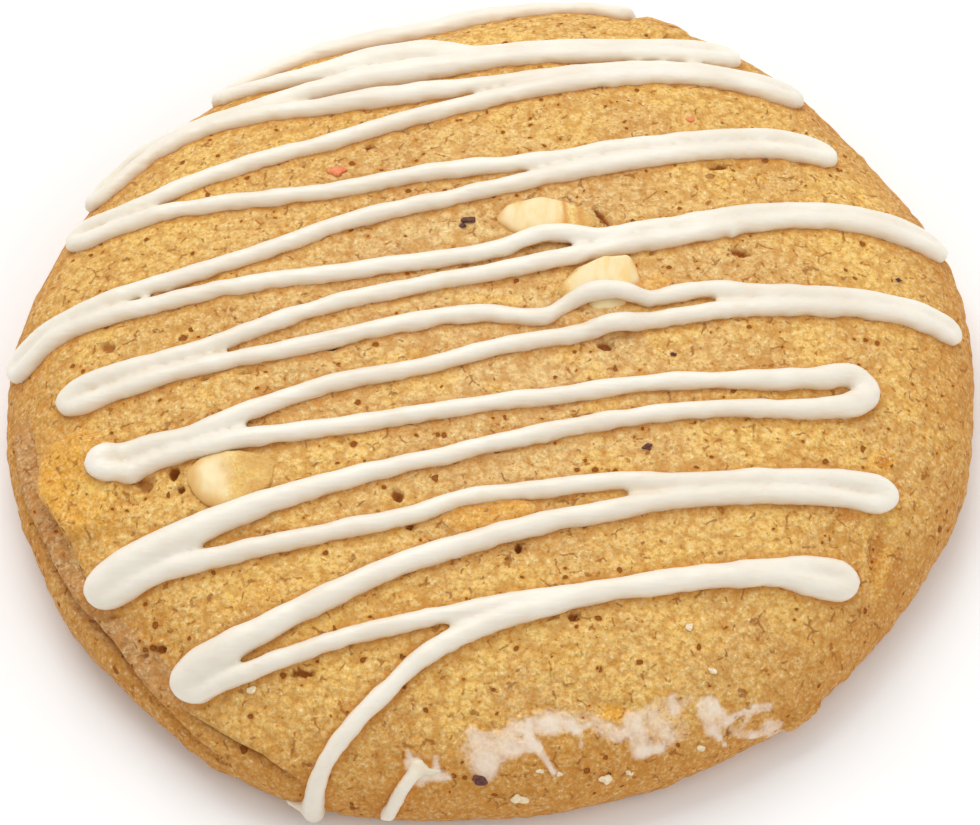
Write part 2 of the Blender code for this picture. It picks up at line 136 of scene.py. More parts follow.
# Holes in the dough: place, half length, half width, turn in degrees and depth
HOLES = (
    (-10.4, 19.1, 0.6, 0.3, 10.0, 0.6),
    (-13.2, -2.2, 0.8, 0.3, 15.0, 0.5),
    (18.9, 17.4, 0.9, 0.35, 12.0, 0.6),
    (20.2, 7.9, 0.9, 0.4, -10.0, 0.7),
    (9.0, -2.4, 0.7, 0.35, -15.0, 0.6),
    (-7.7, -16.6, 0.5, 0.6, 70.0, 0.9),
    (-6.7, -19.3, 0.45, 0.3, 20.0, 0.5),
    (-15.4, -31.5, 1.2, 0.35, -5.0, 0.6),
    (-27.4, -28.2, 0.6, 0.4, -25.0, 0.6),
    (-29.0, -28.5, 0.4, 0.3, 0.0, 0.4),
    (2.0, -21.2, 0.4, 0.45, 0.0, 0.8),
    (6.2, -27.0, 0.4, 0.35, 0.0, 0.6),
    (-25.9, -13.2, 0.4, 0.6, 0.0, 1.0),
    (-25.3, -14.8, 0.32, 0.35, 0.0, 0.8),
    (-24.0, -17.5, 0.5, 0.35, -25.0, 0.7),
    (-28.4, -13.9, 0.9, 0.9, 20.0, 0.38),
    (8.9, 11.0, 1.4, 0.3, -58.0, 0.8),
    (6.0, 6.3, 0.5, 0.25, 35.0, 0.5),
    (12.2, 3.0, 0.4, 0.3, 20.0, 0.5),
    (-15.9, 17.3, 0.4, 0.25, 80.0, 0.4),
    (-32.0, -0.2, 0.8, 0.5, -20.0, 0.4),
    (-23.4, -4.8, 0.4, 0.3, 0.0, 0.4),
    (-20.1, -4.5, 0.7, 0.3, 10.0, 0.4),
)
SMALL_HOLES = 160
SMALL_HOLE_SIZE = (0.2, 0.38)
SMALL_HOLE_SEED = 7
SMALL_HOLE_REACH = 41.0
SMALL_HOLE_SLIM = (0.35, 0.8)
SMALL_HOLE_LEAST = 0.24
HOLE_RIM = (0.55, 1.15)
HOLE_RIM_WOBBLE = 0.45

# Icing: the zigzag's turns, with the gap between the centre lines that meet at each
TURNS = (
    (-24.4, 30.1, 1.8),
    (20.9, 32.3, 1.2),
    (-35.4, 19.2, 1.8),
    (26.5, 28.6, 1.3),
    (-36.2, 13.4, 1.6),
    (28.8, 20.9, 1.3),
    (-41.6, 1.0, 1.7),
    (38.8, 13.0, 0.8),
    (-35.6, -4.9, 1.6),
    (39.3, 3.7, 1.1),
    (-32.0, -12.0, 1.7),
    (30.6, -5.1, 2.7),
    (-32.4, -22.5, 1.6),
    (32.4, -14.2, 1.5),
    (-25.4, -31.2, 1.9),
    (28.8, -22.1, 1.4),
)

# Places that each pass goes through on its way from one turn to the next
PASSES = (
    ((13.0, 43.5), (11.2, 39.4), (6.0, 40.2), (-6.0, 37.7), (-18.0, 34.3)),
    (
        (-15.0, 29.0), (-6.6, 31.0), (-1.5, 30.2), (3.3, 30.8), (6.0, 31.2), (13.0, 31.6),
        (17.5, 32.8),
    ),
    ((12.0, 30.4), (0.0, 29.3), (-12.0, 27.1), (-24.0, 24.5), (-32.0, 22.6)),
    ((-29.0, 22.1), (-24.0, 23.6), (-12.0, 24.3), (0.0, 26.1), (12.0, 28.3), (20.0, 29.1)),
    ((19.0, 28.1), (12.0, 27.2), (0.0, 24.2), (-12.0, 20.1), (-24.0, 16.6), (-31.0, 14.5)),
    (
        (-31.0, 12.8), (-27.5, 13.2), (-24.0, 13.3), (-14.0, 13.8), (-5.0, 15.6), (1.0, 16.2),
        (5.5, 17.0), (9.5, 18.2), (15.0, 19.4), (24.0, 21.6),
    ),
    (
        (24.0, 20.0), (12.0, 17.1), (0.0, 13.6), (-12.0, 10.5), (-18.0, 8.0), (-24.0, 6.0),
        (-34.0, 4.0),
    ),
    (
        (-36.0, 2.1), (-29.0, 2.9), (-25.5, 3.4), (-22.0, 3.9), (-12.0, 5.2), (0.0, 7.2),
        (4.2, 8.6), (9.0, 8.7), (14.0, 10.0), (26.0, 13.1), (34.0, 13.8),
    ),
    (
        (31.0, 12.6), (25.0, 11.8), (14.0, 8.5), (9.3, 7.4), (6.0, 6.4), (0.0, 5.0),
        (-12.0, 2.2), (-24.0, -2.0),
    ),
    (
        (-30.0, -4.9), (-25.6, -4.0), (-21.0, -3.3), (-16.0, -2.4), (-9.0, -0.6), (-1.5, 0.8),
        (4.0, 0.4), (6.6, 1.8), (9.0, 2.45), (12.3, 2.2), (15.0, 3.0), (18.4, 3.6),
        (21.0, 3.5), (30.0, 4.4),
    ),
    (
        (34.0, 3.4), (28.0, 2.9), (18.0, 1.35), (8.0, -1.1), (0.0, -2.7), (-6.0, -4.6),
        (-12.0, -5.8), (-18.0, -7.7), (-24.0, -10.0),
    ),
    (
        (-29.8, -12.9), (-27.4, -12.1), (-22.0, -11.2), (-12.0, -10.1), (0.0, -8.1), (8.0, -6.9),
        (14.0, -5.8), (20.0, -5.3), (26.0, -4.5),
    ),
    ((26.0, -7.4), (16.0, -8.4), (6.0, -10.5), (-6.0, -13.6), (-18.0, -16.8), (-27.0, -19.9)),
    (
        (-27.5, -22.1), (-20.0, -20.9), (-8.0, -18.8), (-1.0, -16.8), (3.5, -16.3), (9.5, -15.3),
        (14.0, -15.2), (23.0, -14.0),
    ),
    ((26.0, -15.2), (14.0, -16.8), (9.0, -18.1), (4.0, -19.2), (-7.0, -22.7), (-18.0, -27.6)),
    (
        (-22.0, -31.6), (-16.0, -30.0), (-12.0, -28.9), (0.0, -26.3), (8.5, -24.9), (12.0, -24.0),
        (22.0, -22.0), (25.4, -21.4),
    ),
    (
        (22.0, -22.6), (12.0, -24.35), (8.5, -24.95), (3.3, -26.6), (1.0, -27.3), (-5.0, -30.1),
        (-9.0, -33.6), (-13.4, -38.2), (-16.6, -44.4),
    ),
)
DRIP = ((-6.3, -39.5), (-7.1, -40.3), (-8.0, -41.5), (-9.5, -44.1))

STRAND_RADIUS = 0.8
STRAND_SINK = 0.25
LEFTWARD_SWELL = 0.42
RIGHTWARD_SWELL = 0.14
NEAR_SWELL = 0.15
SWELL_LEFT = (-2.0, -30.0)
SWELL_NEAR = (-6.0, -19.0)
NEAR_SWELL_AT = (-15.0, -20.0)
DRIP_RADIUS = 0.62

# Where the strand is fuller or slimmer: place, reach and change of radius
SWELLS = (
    (-11.0, -36.0, 12.0, -0.55),
    (-8.0, 39.0, 15.0, 0.28),
    (-9.5, 29.0, 8.0, 0.32),
    (25.0, -4.2, 6.0, 0.16),
    (29.8, -5.4, 3.6, 0.28),
    (26.0, -22.2, 4.0, 0.12),
)
SWELLS_FADE = (0.4, 1.0)
HOP_FADE = (0.3, 1.0)
TURN_SETBACK = 0.5
CURVE_SAMPLES = 30
BEND_EFFORT = 0.5
RADIUS_EVENING = 9

# Icing that fills the slit between two passes: how far from each turn, and up to which gap
WEBS = (
    (20.0, 2.0), (36.0, 3.0), (20.0, 1.8), (20.0, 2.0), (20.0, 2.0), (26.0, 2.5),
    (20.0, 2.0), (26.0, 2.1), (20.0, 2.0), (23.0, 2.2), (20.0, 2.6), (0.0, 0.0),
    (20.0, 2.0), (24.0, 2.4), (4.4, 2.6), (20.0, 2.0),
)
WEB_RADIUS = 0.42
WEB_LIFT = -0.16
WEB_STEP = 0.5

# Fine mesh of the icing, and its unevenness
STRAND_SIDES = 14
STRAND_STEP = 0.6
ICING_VOXEL = 0.28
ICING_SMOOTHING = 4
STRAND_WANDER = (2.6, 0.10)
STRAND_PULSE = (2.4, 0.11)
ICING_WAVES = ((2.2, 0.07, 11), (1.0, 0.02, 12))
EDGE_WAVES = ((1.1, 0.12, 13),)
ICING_EDGE = (0.25, 0.65)
# Painted shade and warm translucent glow: the icing is tinted beige close to the dough, fading out
# between these heights
ICING_LOW_SHADE = (0.05, 0.95)
# Painted contact shade: warm brown on the dough within about this distance of the icing
ICING_SHADE_REACH = 0.5

# Small blobs beside the strands: place, half length, width and height, and the centre's lift
BLOBS = (
    (-17.6, -43.4, 0.6, 0.6, 0.6, 0.0),
    (-18.4, -43.0, 0.4, 0.4, 0.4, 0.0),
    (19.6, 9.5, 0.45, 0.45, 0.45, 0.25),
    (-6.2, -39.2, 0.85, 0.8, 0.5, 0.0),
    (-5.2, -39.5, 1.1, 0.5, 0.4, 0.0),
)

# Where a strand rides over a chunk: place, how far off it still lifts, and how high
HOPS = (
    (9.0, 2.6, 4.2, 0.95),
    (4.4, 9.2, 4.6, 0.35),
    (-20.6, -11.0, 4.6, 0.25),
)

# White chocolate chunks: place, from where to where to the right the surface turns grainy, caramel
# streaks as places to the right and half widths, and corners to the right, away and out
CHUNKS = (
    (
        (4.0, 10.4),
        (0.8, 2.6),
        ((1.9, 0.3), (3.2, 0.35)),
        (
            (-4.5, 0.2, 0.2), (-2.0, 1.0, 0.9), (0.6, 1.5, 0.9), (5.3, -0.4, 0.2),
            (-2.8, 2.0, 0.2), (0.4, 2.6, 0.2), (3.9, 1.4, 0.2), (-3.2, -1.2, 0.3),
            (-1.4, -2.1, 0.3), (3.2, -1.9, 0.3), (-2.4, 0.2, -2.0), (2.4, 0.2, -2.0),
            (0.0, -1.3, -2.0),
        ),
    ),
    (
        (9.2, 4.0),
        (-2.2, -4.2),
        ((2.6, 0.3),),
        (
            (1.7, 2.0, 1.7), (-0.4, 1.9, 1.6), (-4.5, -1.1, 0.0), (-2.6, 1.5, 0.2),
            (3.2, -0.8, 0.1), (2.6, 1.6, 0.2), (-1.2, -3.2, 0.5), (1.7, -3.1, 0.5),
            (1.3, -0.4, 1.2), (-1.8, 0.0, -2.0), (1.8, 0.8, -2.0), (0.2, -1.6, -2.0),
        ),
    ),
    (
        (-20.9, -14.3),
        (-1.6, 1.0),
        (),
        (
            (-4.2, 1.0, 0.1), (-4.0, -0.4, 0.1), (-2.6, 1.1, 0.8), (-2.4, -1.2, 0.7),
            (-3.1, -1.8, 0.1), (-1.4, -2.9, 0.1), (0.4, -2.6, 0.4), (3.2, -1.2, 0.1),
            (3.7, 1.4, 0.1), (-2.4, 2.5, 0.4), (1.6, 2.4, 0.4), (-2.4, 0.8, -2.0),
            (2.4, 1.0, -2.0), (-0.6, -1.6, -2.0),
        ),
    ),
)
CHUNK_BEVEL = 0.5
CHUNK_RIM = (0.75, 0.15)
CHUNK_VOXEL = 0.14
CHUNK_SMOOTHING = 8
CHUNK_WAVES = ((2.0, 0.17, 21), (0.8, 0.06, 22))
CHUNK_FLATTEN_DEGREES = 4.0

# Thin glaze smeared along the near edge: ends of each streak, half width and how milky it is
GLAZE = (
    (-6.6, -38.9, -6.1, -40.0, 0.8, 1.0), (-6.1, -39.8, -4.0, -39.9, 0.55, 0.9),
    (-6.9, -37.9, -6.6, -39.0, 0.3, 0.9), (-4.7, -38.4, -4.7, -39.7, 0.35, 0.85),
    (-1.8, -36.3, -1.3, -37.3, 0.55, 0.8), (-1.3, -37.3, -0.7, -39.3, 1.15, 0.85),
    (-2.7, -37.9, -2.0, -39.0, 0.65, 0.45), (-1.1, -36.9, 1.1, -36.6, 0.65, 0.8),
    (-0.7, -38.2, 1.1, -37.7, 1.1, 0.8), (1.1, -37.5, 3.2, -37.4, 0.7, 0.9),
    (2.0, -36.0, 3.4, -37.4, 0.45, 1.0), (3.4, -37.5, 4.9, -39.5, 0.34, 1.0),
    (2.6, -35.2, 2.8, -35.9, 0.25, 0.8), (1.6, -36.0, 4.5, -35.9, 0.85, 0.8),
    (3.6, -35.0, 7.7, -34.9, 0.65, 0.6), (4.5, -35.7, 6.3, -35.8, 0.75, 0.75),
    (6.0, -35.7, 6.6, -36.2, 0.35, 1.0), (6.6, -36.2, 7.4, -35.6, 0.3, 1.0),
    (7.0, -36.3, 7.0, -37.5, 0.25, 0.65), (8.4, -35.7, 10.1, -36.3, 0.75, 0.85),
    (11.1, -35.2, 12.1, -37.5, 0.95, 0.85), (12.1, -37.4, 13.7, -37.3, 0.5, 0.85),
    (12.2, -35.2, 13.8, -36.6, 1.3, 0.65), (13.4, -34.3, 15.0, -35.6, 1.3, 0.6),
    (14.3, -33.1, 14.5, -34.1, 0.45, 0.9), (14.5, -34.1, 15.7, -33.2, 0.48, 0.7),
    (16.9, -33.5, 17.9, -35.4, 0.75, 0.9), (17.6, -33.0, 18.2, -33.7, 0.45, 0.9),
    (18.0, -33.8, 19.3, -34.7, 0.65, 0.95), (18.2, -35.4, 18.9, -36.0, 0.5, 0.95),
    (18.9, -36.0, 19.9, -36.9, 0.27, 0.95), (19.3, -34.7, 20.6, -33.7, 0.36, 0.85),
    (20.1, -35.5, 22.3, -35.8, 0.55, 0.8), (21.0, -34.8, 21.4, -33.2, 0.36, 0.85),
    (21.7, -33.4, 23.0, -33.1, 0.5, 0.85), (22.3, -35.8, 24.2, -35.4, 0.5, 0.9),
    (23.3, -34.7, 24.8, -34.7, 0.65, 0.95), (24.6, -36.0, 27.6, -34.6, 0.45, 0.85),
)
GLAZE_MILKY = 0.82
GLAZE_RIM = (1.4, 0.5)
GLAZE_RAGGED = ((0.9, 0.22, 31), (0.4, 0.12, 32))
GLAZE_MOTTLE = ((2.0, 0.26, 33), (0.8, 0.1, 34))
GLAZE_THICKNESS = 0.14
GLAZE_LEVELLING = 0.7

# Bands across the white chocolate
RIB_TURN = (0.0, 0.0, 0.5)
RIB_STRETCH = (1.0, 0.35, 0.35)

# Faint lines that run along the icing
STREAK_TURN = (0.0, 0.0, -0.2)
STREAK_STRETCH = (0.08, 1.0, 1.0)

# Crumbs and specks: place and half size
CRUMBS = (
    (2.1, -41.9, 0.55),
    (9.4, -40.1, 0.52),
    (17.5, -37.1, 0.38),
    (15.5, -27.5, 0.36),
    (-19.5, -32.5, 0.40),
    (17.4, -30.8, 0.30),
    (11.4, -39.5, 0.32),
    (3.7, -39.4, 0.28),
    (5.3, -39.6, 0.26),
)
RED_SPECKS = ((-13.1, 16.2, 0.75), (16.6, 22.6, 0.38))
DARK_SPECKS = (
    (-2.1, 10.5, 0.5),
    (-2.6, 9.9, 0.3),
    (14.5, -3.0, 0.3),
    (12.3, -12.0, 0.42),
    (34.0, 7.5, 0.3),
    (-1.3, -40.2, 0.6),
)

# Golden stains: place, half length, half width, turn in degrees and strength
STAINS = (
    (-33.9, -13.0, 6.2, 4.0, 113.0, 0.8),
    (31.9, -11.0, 1.6, 0.9, 40.0, 0.8),
    (32.6, -15.0, 2.0, 0.8, 80.0, 0.7),
    (32.2, -20.5, 3.2, 1.0, 75.0, 0.4),
    (9.8, -34.6, 1.9, 0.7, -5.0, 1.0),
    (13.2, 4.3, 1.7, 0.9, 10.0, 0.5),
    (-0.5, -18.6, 4.4, 1.7, 5.0, 0.6),
    (22.2, 16.5, 1.0, 0.35, -20.0, 0.7),
    (-13.3, 1.2, 3.4, 1.2, 15.0, 0.3),
    (-19.4, -24.3, 3.5, 1.6, 20.0, 0.35),
    (5.0, 4.2, 2.6, 1.6, 40.0, 0.3),
    (27.0, 14.6, 2.2, 1.0, 10.0, 0.35),
)

# Caramel stains, in the same way
CARAMEL = (
    (31.9, -11.0, 1.1, 0.6, 40.0, 0.9),
    (32.9, -13.4, 1.6, 0.6, 75.0, 0.7),
    (28.8, -16.6, 1.6, 0.5, 5.0, 0.8),
    (31.6, -18.6, 2.6, 0.6, 80.0, 0.7),
    (33.6, -20.0, 2.8, 0.9, 75.0, 0.5),
    (29.4, -19.0, 1.8, 0.4, 85.0, 0.4),
    (15.0, -2.6, 1.6, 0.4, 5.0, 0.5),
)
STAIN_RIM = (0.5, 1.1)
STAIN_WOBBLE = 0.25

# Grain of the dough: size of each kind of unevenness across
GRAIN_SIZE = 0.3
SUGAR_SIZE = 0.42
PEBBLE_SIZE = 0.85
PIT_SIZE = 0.8
CRACK_SIZE = 1.7

# Floor, in metres, just below the cookie so that the two don't share a plane
FLOOR_HALF = 3.0
FLOOR_HEIGHT = -0.00005

# View: the camera's elevation as judged from the photograph, its distance and its scale
ELEVATION = 55.0
VIEW_DISTANCE = 420.0
VIEW_AIM = (0.2, -2.2, 4.63)
PIXELS_PER_MM = 12.1
PICTURE_WIDTH = 980
SENSOR_WIDTH = 36.0


def smooth_step(low, high, value):
    """Rise from 0 to 1 between low and high."""
    share = np.clip((value - low) / (high - low), 0.0, 1.0)
    return share * share * (3.0 - 2.0 * share)


def bump(value, half_width):
    """Soft bump, 1 high, about 0."""
    return np.exp(-((value / half_width) ** 2))


def rough(points, size, seed):
    """Smooth noise between about -1 and 1 at points, with bumps about size across."""
    shift = Vector((17.3 * seed, 5.1 * seed, 9.7 * seed))
    return np.array([noise.noise(Vector(point) / size + shift) for point in points])


def profile():
    """Distance along the skin, radius and height, from the top's middle to the underside."""
    dome = np.linspace(0.0, np.pi / 2, DOME_STEPS)
    tuck = np.linspace(0.0, np.pi / 2, TUCK_STEPS)[1:]
    radius = np.append(
        MEAN_RADIUS * np.sin(dome) ** (2 / SHOULDER_OUT),
        MEAN_RADIUS - FOOT_TUCK * (1 - np.cos(tuck)),
    )
    height = np.append(
        RIM_HEIGHT + DOME_RISE * np.cos(dome) ** (2 / SHOULDER_UP),
        RIM_HEIGHT * (1 - np.sin(tuck)),
    )
    steps = np.hypot(np.diff(radius), np.diff(height))
    return np.append(0.0, np.cumsum(steps)), radius, height


REACH, RADIUS, HEIGHT = profile()


def swell(angle):
    """Outline's radius in this direction, as a share of the mean."""
    share = np.ones_like(angle)
    for waves, size, crest in SWELL:
        share = share + size * np.cos(waves * (angle - np.radians(crest)))
    return share


def reach_of(x, y):
    """Way from places to the middle, over the outline's swell."""
    return np.hypot(x, y) / swell(np.arctan2(y, x))


def spot(x, y, middle_x, middle_y, length, width, turn):
    """Distance from the middle of a turned oval, 1 on its rim."""
    turn = np.radians(turn)
    along = (x - middle_x) * np.cos(turn) + (y - middle_y) * np.sin(turn)
    across = (y - middle_y) * np.cos(turn) - (x - middle_x) * np.sin(turn)
    return np.hypot(along / length, across / width)


def lumps(x, y):
    """Height of the lumps at a place."""
    wobble = LUMP_RIM_WOBBLE * rough(np.stack([x, y, 0 * x], -1), 2.6, 61)
    total = np.zeros_like(x)
    for *oval, height in LUMPS:
        total = total + height * (1 - smooth_step(*LUMP_RIM, spot(x, y, *oval) + wobble))
    return total


def fold(x, y):
    """Height of the lip, the groove and the foot along the side's creases."""
    angle = np.degrees(np.arctan2(y, x)) % 360.0
    reach = np.hypot(x, y) / swell(np.radians(angle))
    total = np.zeros_like(reach)
    for places, depth, lip in CREASES:
        angles, reaches = zip(*places)
        below = reach - np.interp(angle, angles, reaches)
        span = smooth_step(angles[0], angles[0] + CREASE_FADE, angle)
        span = span * (1 - smooth_step(angles[-1] - CREASE_FADE, angles[-1], angle))
        groove = depth * bump(below, CREASE_HALF_WIDTH)
        over = lip * smooth_step(LIP_FROM, LIP_FULL, below) * (1 - smooth_step(*LIP_ENDS, below))
        foot = FOOT_SHARE * lip * bump(below - FOOT_BELOW, FOOT_HALF_WIDTH)
        total = total + span * (over + foot - groove)
    return total


def plain_skin(x, y):
    """Points at places on the skin, without its relief."""
    angle = np.arctan2(y, x)
    share = swell(angle)
    reach = np.hypot(x, y) / share
    radius = np.interp(reach, REACH, RADIUS) * share
    height = np.interp(reach, REACH, HEIGHT)
    middle_x, middle_y = MIDDLE
    x = radius * np.cos(angle) + middle_x
    y = radius * np.sin(angle) + middle_y
    return np.stack([x, y, height], -1)


def outward(x, y):
    """Unit vectors square to the skin at places."""
    to_right = plain_skin(x + NEAR, y) - plain_skin(x - NEAR, y)
    away = plain_skin(x, y + NEAR) - plain_skin(x, y - NEAR)
    out = np.cross(to_right, away)
    return out / np.linalg.norm(out, axis=-1, keepdims=True)


def waves(points, layers):
    """Sum of layers of noise, each with its size, height and seed."""
    return sum(height * rough(points, size, seed) for size, height, seed in layers)


def settle(x, y):
    """1 on the skin, fading to 0 where it meets the flat underside."""
    return 1 - smooth_step(FLAT_FROM, FLAT_FULL, reach_of(x, y))


def skin(x, y, lift=0.0):
    """Points at places on the uneven skin, lifted square to it."""
    plain = plain_skin(x, y)
    relief = lumps(x, y) + fold(x, y) + settle(x, y) * waves(plain, WAVES) + lift
    return plain + outward(x, y) * relief[..., None]


def all_holes():
    """The large holes, and small ones scattered over the top and the side."""
    draw = np.random.default_rng(SMALL_HOLE_SEED)
    found = list(HOLES)
    smallest, largest = SMALL_HOLE_SIZE
    for _ in range(SMALL_HOLES):
        reach = SMALL_HOLE_REACH * np.sqrt(draw.uniform())
        angle = draw.uniform(0, 2 * np.pi)
        size = smallest + (largest - smallest) * draw.uniform() ** 2
        slim = draw.uniform(*SMALL_HOLE_SLIM)
        found.append((
            reach * np.cos(angle),
            reach * np.sin(angle),
            size,
            max(SMALL_HOLE_LEAST, size * slim),
            draw.uniform(0, 180),
            draw.uniform(0.5, 1.0) * size,
        ))
    return found


def hole_depth(x, y, points):
    """How deep the holes cut in at places."""
    total = np.zeros_like(x)
    wobble = HOLE_RIM_WOBBLE * rough(points, 0.9, 41)
    for hole_x, hole_y, length, width, turn, depth in all_holes():
        beside = (np.abs(x - hole_x) < 2 * length) & (np.abs(y - hole_y) < 2 * length)
        near = np.flatnonzero(beside)
        distance = spot(x[near], y[near], hole_x, hole_y, length, width, turn) + wobble[near]
        cut = depth * (1 - smooth_step(*HOLE_RIM, distance))
        total[near] = np.maximum(total[near], cut)
    return total


def new_object(name, data):
    """New object in the scene."""
    made = bpy.data.objects.new(name, data)
    bpy.context.scene.collection.objects.link(made)
    return made


def mesh_object(name, points, faces):
    """Smooth object from points in millimetres, with its faces pointing out."""
    mesh = bpy.data.meshes.new(name)
    mesh.from_pydata([tuple(point) for point in np.asarray(points) * MM], [], faces)
    body = bmesh.new()
    body.from_mesh(mesh)
    bmesh.ops.recalc_face_normals(body, faces=body.faces)
    body.to_mesh(mesh)
    body.free()
    mesh.shade_smooth()
    return new_object(name, mesh)


def points_of(thing):
    """Vertex places in millimetres."""
    flat = np.empty(3 * len(thing.data.vertices))
    thing.data.vertices.foreach_get("co", flat)
    return flat.reshape(-1, 3) / MM


def normals_of(thing):
    """Vertex normals."""
    flat = np.empty(3 * len(thing.data.vertices))
    thing.data.vertices.foreach_get("normal", flat)
    return flat.reshape(-1, 3)


def move_points(thing, points):
    """Put the vertices at these places in millimetres."""
    thing.data.vertices.foreach_set("co", (points * MM).ravel())
    thing.data.update()


def paint(thing, name, values):
    """Give each vertex a number that the material reads."""
    layer = thing.data.attributes.new(name, "FLOAT", "POINT")
    layer.data.foreach_set("value", np.asarray(values, dtype=np.float32))


def remeshed(thing, voxel, smoothing):
    """Skin the thing's joined shapes with even squares, then smooth them."""
    remesh = thing.modifiers.new("remesh", "REMESH")
    remesh.mode = "VOXEL"
    remesh.voxel_size = voxel * MM
    remesh.use_smooth_shade = True
    soften = thing.modifiers.new("soften", "SMOOTH")
    soften.factor = 0.5
    soften.iterations = smoothing
    graph = bpy.context.evaluated_depsgraph_get()
    result = bpy.data.meshes.new_from_object(thing.evaluated_get(graph))
    thing.modifiers.clear()
    thing.data = result
    result.shade_smooth()


def disc_faces(rings, first=0):
    """Triangles between rings of 6, 12, 18 and more points round one middle point."""
    faces = []
    for ring in range(rings):
        inner = first + 1 + 3 * ring * (ring - 1)
        outer = first + 1 + 3 * ring * (ring + 1)
        for side in range(6):
            for step in range(ring + 1):
                here = inner + (side * ring + step) % (6 * ring) if ring else first
                out_here = outer + side * (ring + 1) + step
                out_next = outer + (side * (ring + 1) + step + 1) % (6 * (ring + 1))
                faces.append((here, out_here, out_next))
                if step < ring:
                    after = inner + (side * ring + step + 1) % (6 * ring)
                    faces.append((here, out_next, after))
    return faces


def disc_places(rings, reach_full):
    """Places of such rings, evenly spaced out to a reach."""
    ring = np.concatenate([np.full(6 * k, k) for k in range(1, rings + 1)])
    step = np.concatenate([np.arange(6 * k) for k in range(1, rings + 1)])
    angle = step * np.pi / (3 * ring)
    reach = reach_full * ring / rings * swell(angle)
    return np.append(0.0, reach * np.cos(angle)), np.append(0.0, reach * np.sin(angle))


def make_dough():
    """Biscuit: grained top and side, on a flat baked underside."""
    x, y = disc_places(RINGS, REACH[-1])
    plain = plain_skin(x, y)
    holes = hole_depth(x, y, plain)
    milky = glaze(x, y, plain)
    grain = waves(plain, GRAINS) * (1 - GLAZE_LEVELLING * milky)
    top = skin(x, y, settle(x, y) * (grain - holes) + GLAZE_THICKNESS * milky)
    rim_count = 6 * RINGS
    top[-rim_count:, 2] = 0.0
    under_rings = RINGS // UNDER_SHARE
    under = underside(under_rings)
    first_under = len(top)
    last_ring = first_under + 1 + 3 * under_rings * (under_rings - 1)
    faces = disc_faces(RINGS)
    faces += [face[::-1] for face in disc_faces(under_rings, first_under)]
    faces += bridge_faces(first_under - rim_count, last_ring, under_rings)
    dough = mesh_object("dough", np.concatenate([top, under]), faces)
    for name, values in tones(x, y, plain).items():
        paint(dough, name, np.append(values, np.full(len(under), UNDER_TONES.get(name, 0.0))))
    # The holes' depth is painted too, for the material's painted shade in them
    for name, values in {"hole": holes, "glaze": milky}.items():
        paint(dough, name, np.append(values, np.zeros(len(under))))
    return dough


def underside(rings):
    """Points of the flat underside, with a few shallow dents away from its rim."""
    x, y = disc_places(rings, RADIUS[-1] * (1 - 1.0 / rings))
    points = np.stack([x + MIDDLE[0], y + MIDDLE[1], np.zeros_like(x)], -1)
    from_rim = RADIUS[-1] - reach_of(x, y)
    dents = np.maximum(0.0, waves(points, UNDER_DENTS))
    points[:, 2] = UNDER_RISE * smooth_step(0.0, UNDER_FADE, from_rim) * dents
    return points


def tones(x, y, points):
    """Numbers that colour the skin at places, by name."""
    reach = reach_of(x, y) + PATCH_SHIFT * waves(points, PATCHES)
    tone = waves(points, TONES)
    return {
        "stain": stain(x, y, points, STAINS),
        "caramel": stain(x, y, points, CARAMEL),
        "middle": smooth_step(*MIDDLE_FADE, reach),
        "edge": smooth_step(*EDGE_FADE, reach),
        "golden": smooth_step(*TONE_FADE, tone),
        "tan": smooth_step(*TONE_FADE, -tone),
        "wall": wall(x, y),
        "stripes": 0.5 + 0.5 * waves(points * STRIPE_SHAPE, STRIPES),
        # Depth of the creases' grooves, which the material darkens as painted shade
        "groove": np.maximum(0.0, -fold(x, y)),
    }


def glaze(x, y, points):
    """How milky the smeared glaze is at places, from 0 to 1."""
    total = np.zeros_like(x)
    ragged = waves(points, GLAZE_RAGGED)
    for start_x, start_y, end_x, end_y, half_width, milky in GLAZE:
        run = np.hypot(end_x - start_x, end_y - start_y)
        ahead_x = (end_x - start_x) / run
        ahead_y = (end_y - start_y) / run
        gone = np.clip((x - start_x) * ahead_x + (y - start_y) * ahead_y, 0.0, run)
        off = np.hypot(x - start_x - gone * ahead_x, y - start_y - gone * ahead_y) / half_width
        cover = GLAZE_MILKY * milky * smooth_step(*GLAZE_RIM, off + ragged)
        total = total + cover - total * cover
    return np.clip(total * (1 + waves(points, GLAZE_MOTTLE)), 0.0, 1.0)


def wall(x, y):
    """1 on the drawn-out side at the left, and 0 off it."""
    angle = np.degrees(np.arctan2(y, x)) % 360.0
    reach = np.hypot(x, y) / swell(np.radians(angle))
    start, end, inner, outer = WALL
    round_share = smooth_step(*start, angle) * (1 - smooth_step(*end, angle))
    return round_share * smooth_step(*inner, reach) * (1 - smooth_step(*outer, reach))


def bridge_faces(outer_first, inner_first, inner_rings):
    """Triangles from the fine rim to the coarse ring inside it on the underside."""
    outer_count = 6 * RINGS
    inner_count = 6 * inner_rings
    share = outer_count // inner_count
    faces = []
    for step in range(inner_count):
        here = inner_first + step
        after = inner_first + (step + 1) % inner_count
        for part in range(share):
            start = outer_first + step * share + part
            end = outer_first + (step * share + part + 1) % outer_count
            faces.append((here, end, start))
        faces.append((here, after, end))
    return faces


def stain(x, y, points, stains):
    """Strength of the stains at places."""
    total = np.zeros_like(x)
    wobble = STAIN_WOBBLE * rough(points, 2.5, 51)
    for *oval, strength in stains:
        cover = 1 - smooth_step(*STAIN_RIM, spot(x, y, *oval) + wobble)
        total = np.maximum(total, strength * cover)
    return total


def blend_row(row, times, time, spans):
    """One level of the curve's pyramid of blends between neighbours, each over its own span."""
    blended = []
    for before, after, (low, high) in zip(row, row[1:], spans):
        share = (time - times[low]) / (times[high] - times[low])
        blended.append(before * (1 - share) + after * share)
    return blended


